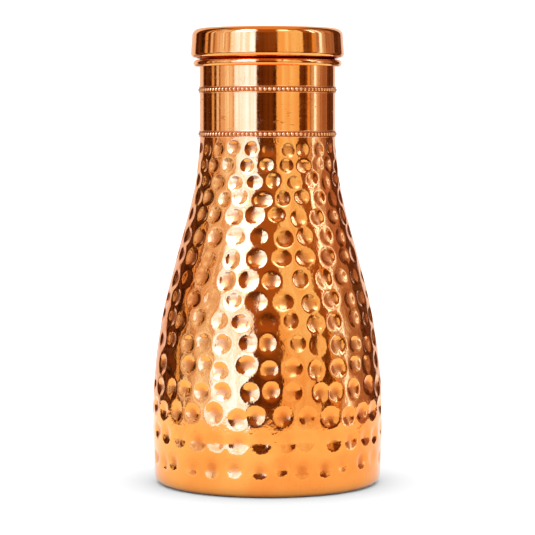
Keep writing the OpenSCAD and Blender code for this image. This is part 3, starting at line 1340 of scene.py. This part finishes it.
@dataclass
class Studio:
    """The camera, the pale floor and the light that the copper mirrors.

    A strip that starts below the horizon shows faintly, by faint_below, all the way down.
    """

    distance: float = 1162 * MM
    camera_z: float = 184 * MM
    aim: tuple[float, float] = (0.0, 111 * MM)
    lens: float = 151.6
    base: tuple[float, float, float] = (0.05, 0.013, 0.003)
    base_gleam: tuple[float, float, float] = (0.19, 0.08, 0.026)
    raised: tuple[float, float, float] = (0.38, 0.17, 0.06)
    strips: tuple[Strip, ...] = (
        Strip(148, 221, -12, 60, (0.9, 0.82, 0.76), (0.97, 0.95, 0.93)),
        Strip(-139, -108, -12, 60, (0.015, 0.004, 0.001), (0.16, 0.065, 0.025)),
        Strip(-108, -102, -9, 60, (0.8, 0.6, 0.4), (1.0, 1.0, 0.9)),
        Strip(-96, -58, -9, 50, (0.70, 0.50, 0.42), (1.0, 1.38, 2.5)),
        Strip(-90, -87, -9, 50, (0.3, 0.2, 0.15), (0.5, 0.4, 0.4)),
        Strip(-71, -69, -9, 50, (1.2, 1.9, 3.5), (1.2, 2.3, 5.0)),
        Strip(-58, -18, -9, 48, (1.05, 1.6, 2.8), (1.4, 2.9, 11.0), 0.8),
        Strip(-52, -24, 24, 56, (3.0, 4.5, 12.0), (8.0, 12.0, 30.0), 2.0, 8.0),
        Strip(15, 55, -9, 48, (0.966, 0.84, 0.64), (1.0, 1.30, 1.60), 0.8),
        Strip(20, 38, 34, 52, (1.6, 2.4, 4.0), (3.0, 5.0, 12.0), 2.0),
        Strip(71, 77, -9, 50, (0.7, 0.42, 0.14), (0.95, 0.65, 0.28)),
        Strip(74, 82, 14, 46, (2.0, 3.2, 8.0), (5.0, 9.0, 24.0), 2.0),
        Strip(77, 100, -9, 50, (0.435, 0.25, 0.18), (0.95, 1.1, 1.7), 2.0),
        Strip(85, 90, -9, 50, (1.2, 1.9, 4.0), (2.0, 4.0, 11.0)),
        Strip(100, 121, -9, 50, (0.30, 0.18, 0.17), (0.60, 0.40, 0.38)),
        Strip(121, 148, -12, 60, (0.03, 0.009, 0.003), (0.17, 0.07, 0.03)),
    )
    top_light: tuple[float, float, float] = (0.8, 0.5, 0.28)
    top_rise: tuple[float, float] = (55.0, 68.0)
    raised_rise: tuple[float, float] = (0.0, 26.0)
    mottle: tuple[float, float, float] = (8.0, 8.0, 2.2)
    faint_below: float = 0.4
    dome: float = 1.5
    floor_r: float = 400 * MM
    floor_sides: int = 128

    def build_camera(self) -> None:
        """Places the camera in front of the bottle and a little above its shoulder."""
        data = bpy.data.cameras.new("camera")
        data.lens = self.lens
        data.clip_start = 0.01
        camera = bpy.data.objects.new("camera", data)
        bpy.context.scene.collection.objects.link(camera)
        camera.location = (self.aim[0], -self.distance, self.camera_z)
        look = Vector((self.aim[0], 0, self.aim[1])) - camera.location
        camera.rotation_euler = look.to_track_quat("-Z", "Y").to_euler()
        bpy.context.scene.camera = camera

    def build_floor(self) -> None:
        """A round pale floor with a faint grain, clear to every ray that comes through it from below."""
        mesh = bpy.data.meshes.new("floor")
        angle = np.arange(self.floor_sides) * TURN / self.floor_sides
        rim = self.floor_r * np.column_stack([np.cos(angle), np.sin(angle), np.zeros_like(angle)])
        mesh.from_pydata(rim.tolist(), [], [tuple(range(self.floor_sides))])
        floor = bpy.data.objects.new("floor", mesh)
        bpy.context.scene.collection.objects.link(floor)
        material, wiring = blank_material("floor_paper")
        grain = wiring.noise(wiring.place(), 60.0, 3.0)
        colour = wiring.blend(grain, (0.88, 0.88, 0.88, 1), (0.90, 0.90, 0.90, 1))
        paper = wiring.add("ShaderNodeBsdfDiffuse", Color=colour)
        below = wiring.add("ShaderNodeNewGeometry").outputs["Backfacing"]
        passed = wiring.add("ShaderNodeLightPath").outputs["Transparent Depth"]
        through = wiring.maths("ADD", below, passed, clamp=True)
        shader = wiring.add("ShaderNodeMixShader", Fac=through)
        wiring.feed(shader.inputs[1], paper.outputs[0])
        wiring.feed(shader.inputs[2], wiring.add("ShaderNodeBsdfTransparent").outputs[0])
        wiring.add("ShaderNodeOutputMaterial", Surface=shader.outputs[0])
        mesh.materials.append(material)

    def build_light(self) -> None:
        """The studio round the bottle: strips for the mirrored light and an even dome for the floor."""
        world = bpy.data.worlds.new("studio")
        bpy.context.scene.world = world
        world.use_nodes = True
        world.node_tree.nodes.clear()
        wiring = Wiring(world.node_tree)
        view = wiring.add("ShaderNodeTexCoord").outputs["Generated"]
        parts = wiring.add("ShaderNodeSeparateXYZ", Vector=view).outputs
        back = wiring.maths("MULTIPLY", parts[1], -1.0)
        azimuth = wiring.maths("DEGREES", wiring.maths("ARCTAN2", parts[0], back))
        behind = wiring.maths("MULTIPLY", wiring.maths("LESS_THAN", azimuth, 0.0), 360.0)
        turned = wiring.maths("ADD", azimuth, behind)
        rise = wiring.maths("DEGREES", wiring.maths("ARCSINE", parts[2]))
        across, along, tall = (wiring.maths("MULTIPLY", parts[k], self.mottle[k]) for k in range(3))
        stretched = wiring.add("ShaderNodeCombineXYZ", X=across, Y=along, Z=tall).outputs[0]
        patch = wiring.span(wiring.noise(stretched, 1.0, 4.0, 0.6), 0.34, 0.64)
        total = wiring.blend(patch, (*self.base, 1.0), (*self.base_gleam, 1.0))
        total = wiring.blend(wiring.span(rise, *self.raised_rise), total, (*self.raised, 1.0))
        for strip in self.strips:
            angle = turned if strip.right > 180 else azimuth
            sides = wiring.maths(
                "MULTIPLY",
                wiring.span(angle, strip.left - strip.soft, strip.left + strip.soft),
                wiring.span(angle, strip.right - strip.soft, strip.right + strip.soft, (1.0, 0.0)),
            )
            under = self.faint_below if strip.low < 0 else 0.0
            ends = wiring.maths(
                "MULTIPLY",
                wiring.span(rise, strip.low - 2.0, strip.low + 2.0, (under, 1.0)),
                wiring.span(rise, strip.high - strip.soft_top, strip.high + strip.soft_top, (1.0, 0.0)),
            )
            shown = wiring.blend(patch, (*strip.colour, 1.0), (*strip.gleam, 1.0))
            total = wiring.blend(wiring.maths("MULTIPLY", sides, ends), total, shown)
        total = wiring.blend(wiring.span(rise, *self.top_rise), total, (*self.top_light, 1.0))
        mirrored = wiring.add("ShaderNodeBackground", Color=total, Strength=1.0).outputs[0]
        even = wiring.add("ShaderNodeBackground", Color=(1, 1, 1, 1), Strength=self.dome).outputs[0]
        path = wiring.add("ShaderNodeLightPath").outputs
        mixed = wiring.add("ShaderNodeMixShader", Fac=path["Is Glossy Ray"])
        wiring.feed(mixed.inputs[1], even)
        wiring.feed(mixed.inputs[2], mirrored)
        wiring.add("ShaderNodeOutputWorld", Surface=mixed.outputs[0])

    def build(self) -> None:
        """Builds the whole studio and the way its tones are shown."""
        self.build_camera()
        self.build_floor()
        self.build_light()
        bpy.context.scene.view_settings.view_transform = "Standard"
        bpy.context.scene.view_settings.look = "None"
        bpy.context.scene.cycles.caustics_reflective = False


# ---------------------------------------------------------------------------------------------
# The whole bottle
# ---------------------------------------------------------------------------------------------


def main() -> None:
    """Builds the studio and every piece."""
    logging.basicConfig(level=logging.INFO, format="%(name)s: %(message)s")
    Studio().build()
    effects = Effects()
    # The hammered finish paints shade into the marks' hollows with its default share of the deep colour.
    hammered = CopperFinish(
        "hammered_copper", tone_amount=0.9, roughness=0.08, line_depth=0.01,
        hollow_attribute="hollow", hollow_roughness=0.28, peen_depth=0.25,
    )
    turned = CopperFinish(
        "turned_copper", roughness=0.06, line_depth=0.03, ripple_depth=0.022 * MM, dash_dark=0.95
    )
    capped = CopperFinish("cap_copper", roughness=0.055, ripple_depth=0.012 * MM, dash_dark=0.6)
    # The beads' copper is lighter than the rest, a painted highlight, and almost the full deep colour is
    # painted into the grooves between the beads as shade.
    beaded = CopperFinish(
        "beaded_copper", clean=(1.0, 0.47, 0.14), warm=(0.98, 0.36, 0.09), line_depth=0.01,
        hollow_attribute="hollow", hollow_painted_shade=0.97, hollow_roughness=0.25,
    )
    satin = CopperFinish("satin_copper", roughness=0.28, line_depth=0.06, streak_roughness=0.12)
    hammered_m, turned_m, capped_m, beaded_m, satin_m = (
        finish.build(effects) for finish in (hammered, turned, capped, beaded, satin)
    )
    body = BottleBody()
    dress(body.build_wall(), Body.BOTTLE, "hammered_copper", "body_shell", hammered_m, satin_m)
    dress(body.build_base("base_disc"), Body.BOTTLE, "base_copper", "base_disc", satin_m)
    neck = Neck()
    dress(neck.build_tube(), Body.BOTTLE, "polished_copper", "neck_tube", turned_m)
    dress(neck.build_collar(), Body.BOTTLE, "polished_copper", "collar_ring", turned_m)
    for node, name in (("lower_bead_ring", "lower_beading"), ("upper_bead_ring", "upper_beading")):
        dress(neck.build_ring(node, name), Body.BOTTLE, "ring_copper", node, beaded_m)
    cap = ScrewCap(neck=neck)
    dress(cap.build_skin(), Body.CAP, "cap_copper", "cap_shell", capped_m)
    dress(cap.build_cup(), Body.CAP, "inner_copper", "inner_cap", satin_m)
    dress(cap.build_seal(), Body.SEAL, "silicone", "seal_ring", SiliconeFinish().build())


if __name__ == "__main__":
    main()
